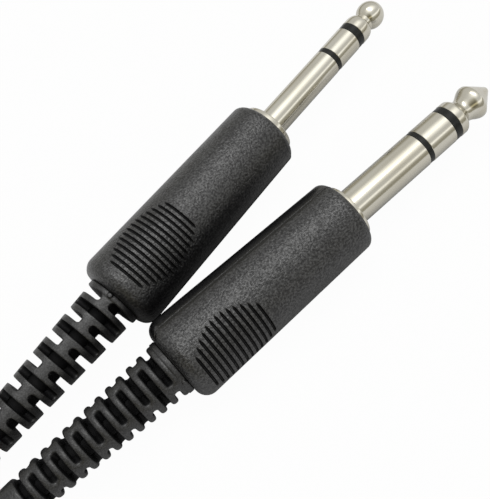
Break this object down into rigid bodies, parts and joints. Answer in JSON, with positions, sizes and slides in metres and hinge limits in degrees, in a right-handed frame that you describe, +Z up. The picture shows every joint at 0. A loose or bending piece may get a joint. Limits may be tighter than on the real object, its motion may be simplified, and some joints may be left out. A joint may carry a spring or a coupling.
{
  "type": "instrument cable",
  "caption": "Instrument cable: a thin round cord with a moulded stereo jack plug on each end, one thick and one slim, and slotted strain reliefs.",
  "frame": {"origin": "plug A's shoulder, where its shaft meets the collar, on the shaft's axis", "axes": "+X along plug A's shaft to its tip, +Z up from the surface that the cable lies on, +Y to the side on which plug B lies"},
  "size_m": [0.1855, 0.053, 0.026],
  "materials": {
    "nickel": "bright nickel plate with fine turning marks",
    "insulator": "smooth black moulded ring",
    "terminal": "tinned stamped brass",
    "washer": "plain pressed insulating board",
    "solder": "bright solder",
    "red_insulation": "smooth wire insulation",
    "white_insulation": "smooth wire insulation",
    "copper": "fine bare copper strands",
    "jacket": "smooth satin cable jacket",
    "strap": "black woven hook-and-loop strap",
    "inner_mould": "natural plastic, as moulded",
    "body": "matte moulded plastic with a fine pebbled grain",
    "strain_relief": "matte flexible plastic, as moulded"
  },
  "bodies": {
    "root": {"plug_a_tip_contact": "nickel", "plug_a_tip_insulator": "insulator", "plug_a_ring_contact": "nickel", "plug_a_ring_insulator": "insulator", "plug_a_sleeve_contact": "nickel", "plug_a_ground_clamp": "terminal", "plug_a_outer_washer": "washer", "plug_a_ring_lug": "terminal", "plug_a_inner_washer": "washer", "plug_a_tip_lug": "terminal", "plug_a_solder_joints": "solder", "plug_a_tip_wire": "red_insulation", "plug_a_ring_wire": "white_insulation", "plug_a_shield": "copper", "plug_a_jacket_end": "jacket", "plug_a_inner_mould": "inner_mould", "plug_a_body": "body", "plug_a_strain_relief": "strain_relief", "plug_b_tip_contact": "nickel", "plug_b_tip_insulator": "insulator", "plug_b_ring_contact": "nickel", "plug_b_ring_insulator": "insulator", "plug_b_sleeve_contact": "nickel", "plug_b_ground_clamp": "terminal", "plug_b_outer_washer": "washer", "plug_b_ring_lug": "terminal", "plug_b_inner_washer": "washer", "plug_b_tip_lug": "terminal", "plug_b_solder_joints": "solder", "plug_b_tip_wire": "red_insulation", "plug_b_ring_wire": "white_insulation", "plug_b_shield": "copper", "plug_b_jacket_end": "jacket", "plug_b_inner_mould": "inner_mould", "plug_b_body": "body", "plug_b_strain_relief": "strain_relief", "cord_lead_a": "jacket", "cord_coil": "jacket", "cord_lead_b": "jacket", "coil_tie": "strap"}
  },
  "joints": []
}
